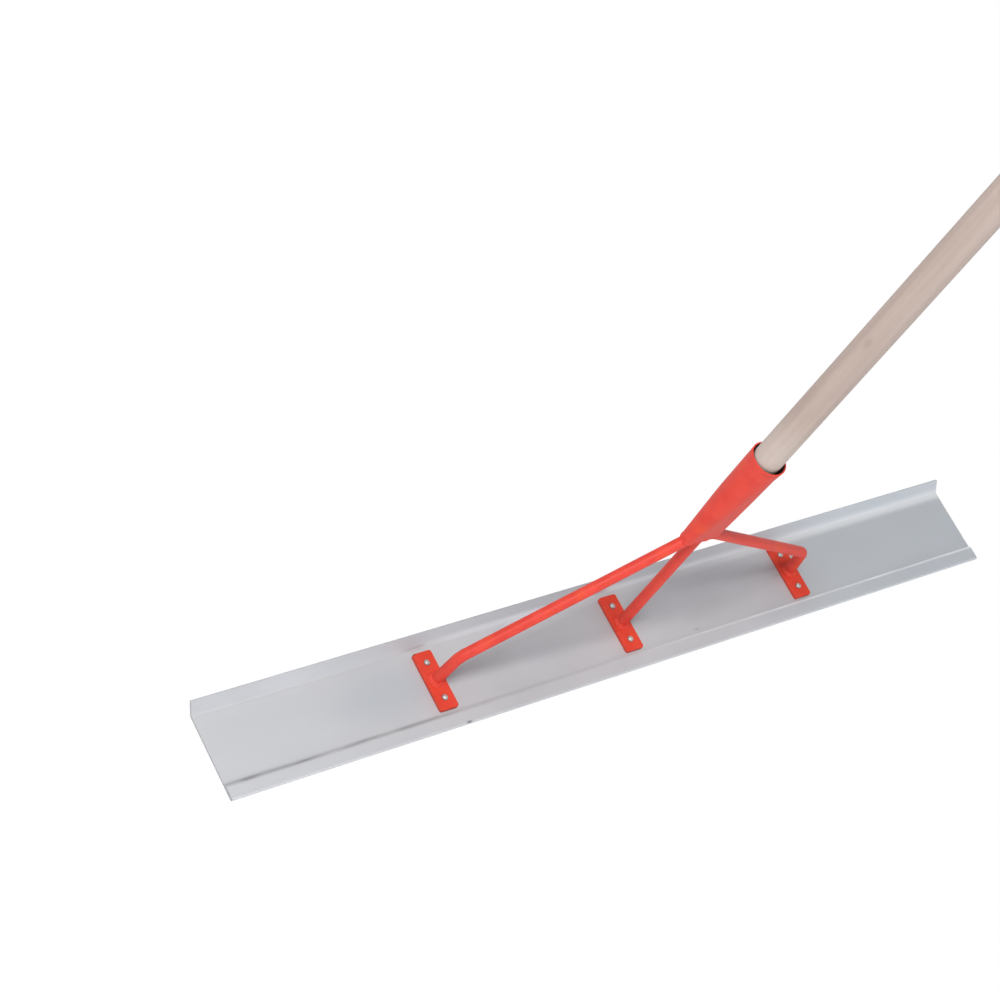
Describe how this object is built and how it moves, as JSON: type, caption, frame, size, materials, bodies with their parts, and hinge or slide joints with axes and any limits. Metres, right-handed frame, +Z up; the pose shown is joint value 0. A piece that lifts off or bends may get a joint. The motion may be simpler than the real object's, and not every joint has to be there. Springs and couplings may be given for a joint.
{
  "type": "screed bar",
  "caption": "Long-handled screed bar for levelling loose or wet material: folded aluminium blade, red bent-bar bracket on riveted feet, and a wooden pole in a pinched tube socket.",
  "frame": {"origin": "on the underside of the blade's flat web, which is the face it stands on, below the middle foot", "axes": "+X along the blade, +Y from the hemmed scraping edge towards the stiffening flange, +Z up along the handle"},
  "size_m": [1, 0.104, 1.7632],
  "materials": {
    "blade_aluminium": "mill-finished sheet, satin",
    "rivet_aluminium": "bare, satin",
    "red_paint": "gloss enamel over welded steel",
    "handle_wood": "planed pale softwood, unvarnished",
    "screw_steel": "zinc plated"
  },
  "bodies": {
    "root": {"blade": "blade_aluminium", "rivets": "rivet_aluminium", "handle": "handle_wood", "handle_screw": "screw_steel", "left_arm": "red_paint", "right_arm": "red_paint", "middle_stay": "red_paint", "handle_socket": "red_paint", "socket_weld": "red_paint", "left_foot_plate": "red_paint", "left_foot_weld": "red_paint", "middle_foot_plate": "red_paint", "middle_foot_weld": "red_paint", "right_foot_plate": "red_paint", "right_foot_weld": "red_paint"}
  },
  "joints": []
}
